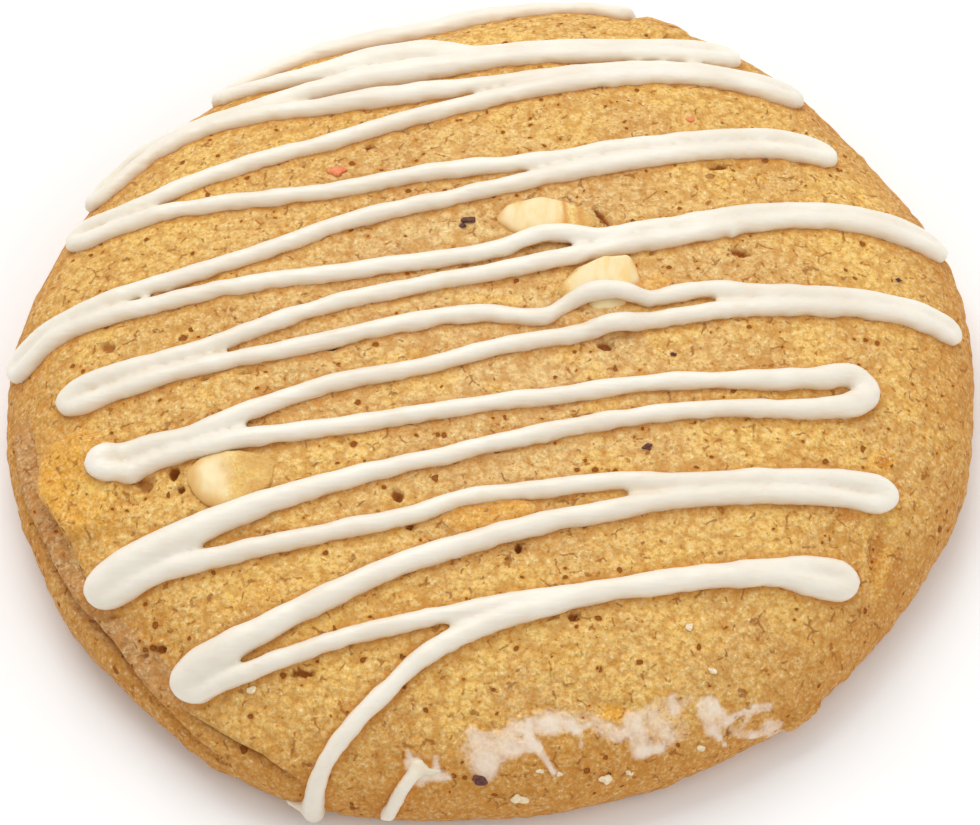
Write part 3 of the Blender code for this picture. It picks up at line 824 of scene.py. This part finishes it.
def curve(places):
    """Smooth curve through places, as many close places."""
    levels = (((0, 1), (1, 2), (2, 3)), ((0, 2), (1, 3)), ((1, 2),))
    knots = [2 * places[0] - places[1], *places, 2 * places[-1] - places[-2]]
    found = []
    for start in range(len(places) - 1):
        window = knots[start:start + 4]
        leaps = [np.linalg.norm(after - before) ** 0.5 for before, after in zip(window, window[1:])]
        times = np.cumsum([0.0, *leaps])
        for time in np.linspace(times[1], times[2], CURVE_SAMPLES, endpoint=False):
            row = window
            for spans in levels:
                row = blend_row(row, times, time, spans)
            found.append(row[0])
    found.append(places[-1])
    return np.array(found)


def spaced(places, step):
    """Places about a step apart along a curve through the given ones, closer where it bends."""
    dense = curve([np.array(place) for place in places])
    leaps = np.diff(dense, axis=0)
    bends = np.diff(np.unwrap(np.arctan2(leaps[:, 1], leaps[:, 0])), prepend=0.0)
    bends[0] = 0.0
    gone = np.append(0.0, np.cumsum(np.linalg.norm(leaps, axis=1) + BEND_EFFORT * np.abs(bends)))
    count = max(2, round(gone[-1] / step) + 1)
    stops = np.linspace(0.0, gone[-1], count)
    return np.interp(stops, gone, dense[:, 0]), np.interp(stops, gone, dense[:, 1])


def hop(x, y):
    """How far a strand is lifted at a place by the chunk under it."""
    total = np.zeros_like(x)
    for hop_x, hop_y, reach, height in HOPS:
        distance = np.hypot(x - hop_x, y - hop_y)
        total = total + height * (1 - smooth_step(*HOP_FADE, distance / reach))
    return total


def strand_radius(x, y, leftward):
    """Radius of the icing at places, fuller on the way to the near left turns."""
    near = smooth_step(*SWELL_NEAR, y)
    swelling = np.where(leftward, LEFTWARD_SWELL, RIGHTWARD_SWELL) * near * smooth_step(*SWELL_LEFT, x)
    fuller = np.where(leftward, NEAR_SWELL, 0.0) * smooth_step(*NEAR_SWELL_AT, y)
    radius = STRAND_RADIUS + swelling + fuller
    for swell_x, swell_y, reach, extra in SWELLS:
        distance = np.hypot(x - swell_x, y - swell_y) / reach
        radius = radius + extra * (1 - smooth_step(*SWELLS_FADE, distance))
    return np.maximum(radius, STRAND_RADIUS)


def tube(places, seed, radius=None, lift=0.0):
    """Points and faces of a strand laid on the skin, with round ends."""
    x, y = spaced(places, STRAND_STEP)
    flat = np.stack([x, y, np.zeros_like(x)], -1)
    wander_size, wander = STRAND_WANDER
    pulse_size, pulse = STRAND_PULSE
    y = y + wander * rough(flat, wander_size, 60 + seed)
    if radius is None:
        radius = evened(strand_radius(x, y, np.gradient(x) < 0), RADIUS_EVENING)
    radius = radius * (1 + pulse * rough(flat, pulse_size, 80 + seed))
    centre = skin(x, y, STRAND_SINK * radius + lift + hop(x, y))
    ahead = np.gradient(centre, axis=0)
    ahead /= np.linalg.norm(ahead, axis=1, keepdims=True)
    across = np.cross(ahead, outward(x, y))
    across /= np.linalg.norm(across, axis=1, keepdims=True)
    up = np.cross(across, ahead)
    turn = (np.arange(STRAND_SIDES) + 0.5) * 2 * np.pi / STRAND_SIDES
    rings = [
        c + r * (np.cos(turn)[:, None] * a + np.sin(turn)[:, None] * u)
        for c, r, a, u in zip(centre, radius, across, up)
    ]
    faces = []
    for ring in range(len(rings) - 1):
        for side in range(STRAND_SIDES):
            here = ring * STRAND_SIDES + side
            beside = ring * STRAND_SIDES + (side + 1) % STRAND_SIDES
            faces.append((here, beside, beside + STRAND_SIDES, here + STRAND_SIDES))
    last = (len(rings) - 1) * STRAND_SIDES
    faces.append(tuple(reversed(range(STRAND_SIDES))))
    faces.append(tuple(range(last, last + STRAND_SIDES)))
    return np.concatenate(rings), faces


def ball(x, y, lift, length, width, height):
    """Points and faces of an oval ball on the skin, long to the right."""
    here = np.array([[x], [y]])
    centre = skin(*here, np.array([lift]))[0]
    out = outward(*here)[0]
    right = plain_skin(here[0] + 2 * NEAR, here[1])[0] - plain_skin(here[0] - 2 * NEAR, here[1])[0]
    right /= np.linalg.norm(right)
    away = np.cross(out, right)
    body = bmesh.new()
    bmesh.ops.create_uvsphere(body, u_segments=24, v_segments=14, radius=1.0)
    axes = np.array([right * length, away * width, out * height])
    points = np.array([centre + np.array(vertex.co) @ axes for vertex in body.verts])
    faces = sorted(tuple(vertex.index for vertex in face.verts) for face in body.faces)
    body.free()
    return points, faces


def zigzag():
    """Places along the whole strand, through every pass and round every turn."""
    places = []
    for index, way in enumerate(PASSES):
        places += way
        if index < len(TURNS):
            x, y, gap = TURNS[index]
            beside = x - np.sign(x) * TURN_SETBACK * gap
            places += [(beside, y + gap / 2), (x, y), (beside, y - gap / 2)]
    return places


def webs():
    """Places along the middle of each slit, where two passes run side by side."""
    x, y = spaced(zigzag(), WEB_STEP / 2)
    gone = np.append(0.0, np.cumsum(np.hypot(np.diff(x), np.diff(y))))
    found = []
    for (turn_x, turn_y, gap), (length, widest) in zip(TURNS, WEBS):
        middle = gone[np.argmin(np.hypot(x - turn_x, y - turn_y))]
        web = []
        for off in np.arange(gap / 2, length, WEB_STEP):
            ahead = np.array([np.interp(middle + off, gone, x), np.interp(middle + off, gone, y)])
            behind = np.array([np.interp(middle - off, gone, x), np.interp(middle - off, gone, y)])
            if np.linalg.norm(ahead - behind) > widest:
                break
            web.append(tuple((ahead + behind) / 2))
        if len(web) > 3:
            found.append(web)
    return found


def evened(values, count):
    """Running mean of values."""
    padded = np.pad(values, count // 2, mode="edge")
    return np.convolve(padded, np.full(count, 1 / count), mode="valid")


def joined(name, shapes):
    """One object from several shapes' points and faces."""
    points = []
    faces = []
    for shape_points, shape_faces in shapes:
        faces += [tuple(index + len(points) for index in face) for face in shape_faces]
        points += [tuple(point) for point in shape_points]
    return mesh_object(name, points, faces)


def gaps(points, others):
    """How far each point is from the nearest of the others."""
    tree = kdtree.KDTree(len(others))
    for index, other in enumerate(others):
        tree.insert(other, index)
    tree.balance()
    return np.array([tree.find(point)[2] for point in points])


def make_icing(dough):
    """Every strand, turn and blob, run together as one body of icing on the dough."""
    shapes = [tube(zigzag(), 0), tube(DRIP, 1, DRIP_RADIUS)]
    shapes += [tube(web, 2, WEB_RADIUS, WEB_LIFT) for web in webs()]
    for x, y, length, width, height, lift in BLOBS:
        shapes.append(ball(x, y, lift, length, width, height))
    icing = joined("icing", shapes)
    remeshed(icing, ICING_VOXEL, ICING_SMOOTHING)
    points = points_of(icing)
    over_dough = gaps(points, points_of(dough))
    ragged = 1 - smooth_step(*ICING_EDGE, over_dough)
    uneven = waves(points, ICING_WAVES) + ragged * waves(points, EDGE_WAVES)
    move_points(icing, points + normals_of(icing) * uneven[:, None])
    # Painted shade and warm glow: a number that tints the icing beige where it is low, close to the
    # dough
    paint(icing, "low", 1 - smooth_step(*ICING_LOW_SHADE, over_dough))
    # Painted contact shade: the dough is tinted warm brown close to the icing's edges
    near = gaps(points_of(dough), points_of(icing))
    paint(dough, "beside", bump(near, ICING_SHADE_REACH))
    return icing


def make_chunk(number, chunk):
    """One piece of white chocolate, softened at its edges."""
    (x, y), grained, caramel, corners = chunk
    here = np.array([[x], [y]])
    centre = Vector(plain_skin(*here)[0])
    out = Vector(outward(*here)[0])
    lean = Vector((0.0, 0.0, 1.0)).rotation_difference(out).to_matrix()
    body = bmesh.new()
    for corner in corners:
        body.verts.new(centre + lean @ Vector(corner))
    hull = bmesh.ops.convex_hull(body, input=body.verts)
    bmesh.ops.delete(body, geom=hull["geom_interior"], context="VERTS")
    flat = np.radians(CHUNK_FLATTEN_DEGREES)
    bmesh.ops.dissolve_limit(body, angle_limit=flat, verts=body.verts, edges=body.edges)
    bmesh.ops.bevel(
        body,
        geom=list(body.edges),
        offset=CHUNK_BEVEL,
        segments=2,
        profile=0.5,
        affect="EDGES",
        clamp_overlap=True,
    )
    body.verts.index_update()
    points = [tuple(vertex.co) for vertex in body.verts]
    faces = [tuple(vertex.index for vertex in face.verts) for face in body.faces]
    body.free()
    made = mesh_object(f"white_chunk_{number}_piece", points, faces)
    remeshed(made, CHUNK_VOXEL, CHUNK_SMOOTHING)
    points = points_of(made)
    points = points + normals_of(made) * waves(points, CHUNK_WAVES)[:, None]
    move_points(made, points)
    over_skin = (points - np.array(centre)) @ np.array(out)
    paint(made, "rim", smooth_step(*CHUNK_RIM, over_skin + 0.35 * rough(points, 1.5, 91)))
    wobble = 0.6 * rough(points, 1.4, 92)
    paint(made, "grainy", smooth_step(*grained, points[:, 0] - centre[0] + wobble))
    streaks = np.zeros(len(points))
    for streak_x, half_width in caramel:
        off = points[:, 0] - centre[0] - streak_x + wobble
        streaks = np.maximum(streaks, bump(off, half_width))
    paint(made, "caramel", streaks)
    return made


def make_bits(name, places, seed, flatness):
    """Small uneven bits that lie in the skin, as one object."""
    shapes = []
    for number, (x, y, size) in enumerate(places):
        points, faces = ball(x, y, 0.2 * size, size, size * 0.7, size * flatness)
        middle = points.mean(axis=0)
        push = 1 + BIT_UNEVENNESS * rough(points, size * 0.8, seed + number)
        shapes.append((middle + (points - middle) * push[:, None], faces))
    return joined(name, shapes)


class Shading:
    """Node material that is put together one node at a time."""

    def __init__(self, name):
        self.material = bpy.data.materials.new(name)
        self.material.use_nodes = True
        self.tree = self.material.node_tree
        self.shader = self.tree.nodes["Principled BSDF"]
        place = self.tree.nodes.new("ShaderNodeTexCoord")
        inputs = {0: place.outputs["Object"], "Scale": 1 / MM}
        self.place = self.add("ShaderNodeVectorMath", inputs, operation="SCALE")

    def add(self, kind, inputs, output=0, **settings):
        """Add a node, set or link its inputs, and return one of its outputs."""
        node = self.tree.nodes.new(kind)
        for key, value in settings.items():
            setattr(node, key, value)
        for key, value in inputs.items():
            self.feed(node.inputs[key], value)
        return node.outputs[output]

    def feed(self, socket, value):
        """Link a socket to an output, or set its value."""
        if isinstance(value, bpy.types.NodeSocket):
            self.tree.links.new(value, socket)
        else:
            socket.default_value = value

    def noise(self, size, detail=3.0, roughness=0.55, place=None):
        """Noise from 0 to 1 with bumps about size millimetres across."""
        inputs = {"Vector": place or self.place, "Scale": 1 / size}
        inputs.update({"Detail": detail, "Roughness": roughness})
        return self.add("ShaderNodeTexNoise", inputs)

    def cells(self, size, feature="F1", place=None):
        """Outputs of cells about size millimetres across."""
        inputs = {"Vector": place or self.place, "Scale": 1 / size}
        return self.add("ShaderNodeTexVoronoi", inputs, feature=feature).node.outputs

    def step(self, value, low, high, to_low=0.0, to_high=1.0):
        """Smooth rise of a value between low and high."""
        names = ("Value", "From Min", "From Max", "To Min", "To Max")
        inputs = dict(zip(names, (value, low, high, to_low, to_high)))
        return self.add("ShaderNodeMapRange", inputs, interpolation_type="SMOOTHSTEP")

    def maths(self, operation, *values):
        """One sum."""
        return self.add("ShaderNodeMath", dict(enumerate(values)), operation=operation)

    def times(self, first, second):
        """Product of two values."""
        return self.maths("MULTIPLY", first, second)

    def mix(self, share, first, second):
        """Mix two colours. The node's sockets 0, 6, 7 and 2 are the ones for colours."""
        inputs = {0: share, 6: colour(first), 7: colour(second)}
        return self.add("ShaderNodeMix", inputs, 2, data_type="RGBA")

    def attribute(self, name, strength=1.0):
        """Number painted on the mesh, times a strength."""
        value = self.add("ShaderNodeAttribute", {}, "Fac", attribute_name=name)
        return value if strength == 1.0 else self.times(value, strength)

    def warped(self, size, amount):
        """Place pushed about by noise."""
        push = self.add("ShaderNodeTexNoise", {"Vector": self.place, "Scale": 1 / size}, "Color")
        vector = "ShaderNodeVectorMath"
        centred = self.add(vector, {0: push, 1: (0.5, 0.5, 0.5)}, operation="SUBTRACT")
        scaled = self.add(vector, {0: centred, "Scale": amount}, operation="SCALE")
        return self.add(vector, {0: self.place, 1: scaled}, operation="ADD")

    def stretched(self, turn, stretch):
        """Place turned and stretched."""
        inputs = {"Vector": self.place, "Rotation": turn, "Scale": stretch}
        return self.add("ShaderNodeMapping", inputs)

    def set(self, **values):
        """Set or link the shader's own inputs, named with _ for spaces."""
        for key, value in values.items():
            self.feed(self.shader.inputs[key.replace("_", " ")], value)

    def bump(self, height, distance):
        """Bump from a height of 0 to 1 that stands for a distance in millimetres."""
        inputs = {"Height": height, "Distance": distance * MM, "Strength": 1.0}
        return self.add("ShaderNodeBump", inputs, "Normal")


def colour(tone):
    """Linear colour for three numbers as on a screen, from 0 to 255. Leaves others as they are."""
    if not isinstance(tone, tuple) or len(tone) != 3:
        return tone
    parts = [value / 255 for value in tone]
    linear = [part / 12.92 if part < 0.04045 else ((part + 0.055) / 1.055) ** 2.4 for part in parts]
    return (*linear, 1.0)


def dough_tones(look):
    """Colours of the plain dough, its crusts and the drawn-out side, all painted on the mesh."""
    base = look.mix(look.attribute("middle"), (236, 196, 130), (236, 188, 104))
    base = look.mix(look.attribute("golden", 0.6), base, (249, 204, 112))
    base = look.mix(look.attribute("tan", 0.4), base, (214, 164, 100))
    base = look.mix(look.attribute("edge"), base, (212, 151, 73))
    crust = look.mix(look.attribute("golden"), (244, 178, 68), (252, 206, 104))
    base = look.mix(look.attribute("stain", 0.95), base, crust)
    base = look.mix(look.attribute("caramel", 0.75), base, (196, 112, 30))
    base = look.mix(look.attribute("wall"), base, (208, 158, 102))
    stripes = look.step(look.attribute("stripes"), 0.5, 0.8, 0.0, 0.6)
    striped = look.times(look.attribute("wall"), stripes)
    return look.mix(striped, base, (160, 106, 56))


def dough_grain(look, base, fine, pebbles, warped):
    """Pale sugar grains, partly painted glints, darker places between grains, and painted shade
    between pebbles and beside the icing.
    """
    # Pale sugar grains: partly their own pale colour, partly painted glints, fewer towards the rim
    sugar = look.cells(SUGAR_SIZE, place=warped)["Distance"]
    grains = look.step(sugar, 0.5, 0.2, 0.4, 0.85)
    pale = look.times(grains, look.step(fine, 0.48, 0.66))
    pale = look.times(pale, look.step(look.attribute("edge"), 0.0, 1.0, 1.0, 0.7))
    base = look.mix(pale, base, (255, 238, 184))
    base = look.mix(look.step(fine, 0.49, 0.33, 0.0, 0.55), base, (186, 118, 36))
    # Painted shade in the seams between pebbles, weaker on the stains
    crusted = look.maths("MULTIPLY_ADD", look.attribute("stain"), -0.6, 1.0)
    shaded = look.times(look.step(pebbles, 0.4, 0.8, 0.0, 0.5), crusted)
    base = look.mix(shaded, base, (184, 116, 34))
    # Painted contact shade: warm brown on the dough beside the icing
    return look.mix(look.attribute("beside", 0.6), base, (200, 126, 42))


def dough_pits(look, base, warped):
    """Pinholes, hairline cracks, holes and grooves, darkened with painted shade. Returns the colour
    and where the pits are.
    """
    chance = look.cells(PIT_SIZE, place=warped)
    room = look.maths("MULTIPLY_ADD", chance["Color"], 1.35, -0.89)
    inside = look.maths("SUBTRACT", room, chance["Distance"])
    base = look.mix(look.step(inside, -0.25, 0.0, 0.0, 0.6), base, (206, 132, 42))
    pits = look.step(inside, 0.0, 0.09, 0.0, 0.95)
    seams = look.cells(CRACK_SIZE, "DISTANCE_TO_EDGE", warped)["Distance"]
    broken = look.step(look.noise(1.0, 2.0, 0.6), 0.55, 0.62, 0.0, 0.68)
    cracks = look.times(look.step(seams, 0.08, 0.02), broken)
    # Painted shade: dark brown inside the pinholes and hairline cracks
    base = look.mix(look.maths("MAXIMUM", cracks, pits), base, (150, 84, 24))
    # Painted shade: dark brown in the holes and the creases' grooves, more where they cut deeper
    holes = look.step(look.attribute("hole"), 0.12, 0.5, 0.0, 0.92)
    grooves = look.step(look.attribute("groove"), 0.2, 0.8, 0.0, 0.8)
    return look.mix(look.maths("MAXIMUM", holes, grooves), base, (158, 84, 22)), pits


def dough_material():
    """Baked dough: sugary grain, pebbled, pitted and cracked, browner towards the rim."""
    look = Shading("baked_dough")
    fine = look.noise(GRAIN_SIZE, 4.0, 0.66)
    warped = look.warped(0.9, 0.6)
    pebbles = look.cells(PEBBLE_SIZE, place=warped)["Distance"]
    base = dough_grain(look, dough_tones(look), fine, pebbles, warped)
    base, pits = dough_pits(look, base, warped)
    rim_noise = look.step(fine, 0.3, 0.7, -0.05, 0.05)
    covered = look.step(look.maths("ADD", look.attribute("glaze"), rim_noise), 0.2, 1.15)
    base = look.mix(look.times(covered, 0.95), base, (242, 226, 207))
    bare = look.maths("SUBTRACT", 1.0, covered)
    domes = look.step(pebbles, 0.8, 0.0, 0.0, 0.8)
    height = look.maths("MULTIPLY_ADD", fine, 0.55, domes)
    height = look.maths("SUBTRACT", height, look.times(pits, 0.7))
    height = look.times(height, look.maths("MULTIPLY_ADD", bare, 0.8, 0.2))
    grain = look.step(fine, 0.5, 0.66, 0.75, 0.45)
    look.set(
        Base_Color=base,
        Roughness=look.times(grain, look.maths("MULTIPLY_ADD", bare, 0.4, 0.6)),
        Normal=look.bump(height, 0.28),
        Specular_IOR_Level=0.17,
    )
    return look.material


def icing_material():
    """Set icing: creamy white, a little translucent, with a soft sheen."""
    look = Shading("white_icing")
    tone = look.noise(6.0, 3.0, 0.55)
    base = look.mix(look.step(tone, 0.35, 0.7), (239, 233, 220), (232, 223, 207))
    streaks = look.noise(0.55, 2.0, 0.5, look.stretched(STREAK_TURN, STREAK_STRETCH))
    base = look.mix(look.step(streaks, 0.55, 0.75, 0.0, 0.35), base, (230, 214, 188))
    # Painted shade and warm glow: beige where the icing is low, close to the dough
    base = look.mix(look.attribute("low", 0.6), base, (226, 202, 162))
    look.set(
        Base_Color=base,
        Roughness=look.step(streaks, 0.3, 0.7, 0.34, 0.46),
        Normal=look.bump(streaks, 0.07),
        Subsurface_Weight=0.35,
        Subsurface_Radius=(1.0, 0.75, 0.5),
        Subsurface_Scale=0.9 * MM,
        Specular_IOR_Level=0.45,
    )
    return look.material


def chocolate_material():
    """White chocolate: waxy cream, golden and grained where it baked into the dough."""
    look = Shading("white_chocolate")
    soft = look.noise(1.5, 3.0, 0.55, look.stretched(RIB_TURN, RIB_STRETCH))
    fine = look.noise(GRAIN_SIZE, 3.0, 0.6)
    base = look.mix(look.step(soft, 0.36, 0.68), (241, 222, 176), (238, 204, 134))
    grainy = look.attribute("grainy")
    flecks = look.mix(look.step(fine, 0.4, 0.62), (244, 190, 84), (255, 230, 150))
    base = look.mix(look.times(grainy, 0.8), base, flecks)
    base = look.mix(look.attribute("caramel", 0.85), base, (214, 146, 62))
    base = look.mix(look.attribute("rim", 0.8), base, (222, 170, 92))
    ridged = look.maths("MULTIPLY_ADD", soft, 0.6, look.times(fine, grainy))
    look.set(
        Base_Color=base,
        Roughness=look.step(fine, 0.3, 0.7, 0.42, 0.56),
        Normal=look.bump(ridged, 0.3),
        Subsurface_Weight=0.35,
        Subsurface_Radius=(1.0, 0.7, 0.35),
        Subsurface_Scale=0.8 * MM,
        Specular_IOR_Level=0.35,
    )
    return look.material


def bit_material(name, first, second, rough_low, rough_high):
    """Small bits of one kind, mottled between two colours."""
    look = Shading(name)
    mottle = look.noise(0.35, 3.0, 0.6)
    look.set(
        Base_Color=look.mix(look.step(mottle, 0.35, 0.65), first, second),
        Roughness=look.step(mottle, 0.3, 0.7, rough_low, rough_high),
        Normal=look.bump(mottle, 0.08),
        Subsurface_Weight=0.15,
        Subsurface_Scale=0.6 * MM,
    )
    return look.material


def dress(thing, look, slot, *replaced):
    """Give a piece its material and its body, and hide the solids that it stands for; its slot is not
    used.
    """
    thing.data.materials.clear()
    thing.data.materials.append(look)
    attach(thing, "root")
    if replaced:
        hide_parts(*replaced)


def make_floor():
    """Plain pale floor under the cookie."""
    mesh = bpy.data.meshes.new("floor")
    signs = ((-1, -1), (1, -1), (1, 1), (-1, 1))
    corners = [(FLOOR_HALF * right, FLOOR_HALF * away, FLOOR_HEIGHT) for right, away in signs]
    mesh.from_pydata(corners, [], [(0, 1, 2, 3)])
    floor = new_object("floor", mesh)
    look = Shading("pale_floor")
    mottle = look.noise(60.0, 2.0, 0.5)
    base = look.mix(mottle, (0.93, 0.93, 0.93, 1.0), (0.95, 0.95, 0.95, 1.0))
    look.set(Base_Color=base, Roughness=0.9)
    mesh.materials.append(look.material)


def aimed_at(place, target):
    """Turn that points an object's -Z at the target."""
    return (Vector(place) - Vector(target)).to_track_quat("Z", "Y").to_euler()


def add_light(name, place, size, power, tint):
    """Soft square lamp that faces the cookie."""
    lamp = bpy.data.lights.new(name, "AREA")
    lamp.size = size
    lamp.energy = power
    lamp.color = tint
    made = new_object(name, lamp)
    made.location = place
    made.rotation_euler = aimed_at(place, (0.0, 0.0, 0.0))


def set_lights():
    """Large soft light from behind and above, with an even fill."""
    add_light("key", (-0.14, 0.42, 0.7), 0.6, 3.4, (1.0, 0.99, 0.97))
    add_light("side_fill", (0.55, -0.35, 0.45), 0.5, 0.8, (1.0, 1.0, 1.0))
    world = bpy.data.worlds.new("studio")
    world.use_nodes = True
    background = world.node_tree.nodes["Background"]
    background.inputs["Color"].default_value = (1.0, 1.0, 1.0, 1.0)
    background.inputs["Strength"].default_value = 0.72
    bpy.context.scene.world = world
    bpy.context.scene.view_settings.view_transform = "Standard"


def set_camera():
    """Camera about where the photograph was taken from."""
    elevation = np.radians(ELEVATION)
    back = Vector((0.0, -np.cos(elevation), np.sin(elevation)))
    aim = Vector(VIEW_AIM) * MM
    camera = bpy.data.cameras.new("camera")
    camera.sensor_width = SENSOR_WIDTH
    camera.lens = PIXELS_PER_MM * VIEW_DISTANCE / PICTURE_WIDTH * SENSOR_WIDTH
    camera.clip_start = 0.01
    made = new_object("camera", camera)
    made.location = aim + back * VIEW_DISTANCE * MM
    made.rotation_euler = aimed_at(made.location, aim)
    bpy.context.scene.camera = made


def main():
    """Make every piece, the floor, the lights and the camera."""
    dough = make_dough()
    dress(make_icing(dough), icing_material(), "icing")
    dress(dough, dough_material(), "dough", "cookie")
    chocolate = chocolate_material()
    for number, chunk in enumerate(CHUNKS, start=1):
        dress(make_chunk(number, chunk), chocolate, "white_chocolate", f"white_chunk_{number}")
    crumb_look = bit_material("pale_crumb", (242, 226, 196), (230, 204, 162), 0.5, 0.7)
    dress(make_bits("crumbs", CRUMBS, 101, 0.5), crumb_look, "icing")
    red_look = bit_material("red_speck", (226, 120, 70), (238, 150, 96), 0.4, 0.6)
    dress(make_bits("red_specks", RED_SPECKS, 121, 0.3), red_look, "dough")
    dark_look = bit_material("dark_speck", (66, 20, 14), (112, 60, 48), 0.5, 0.7)
    dress(make_bits("dark_specks", DARK_SPECKS, 131, 0.35), dark_look, "dough")
    make_floor()
    set_lights()
    set_camera()


main()
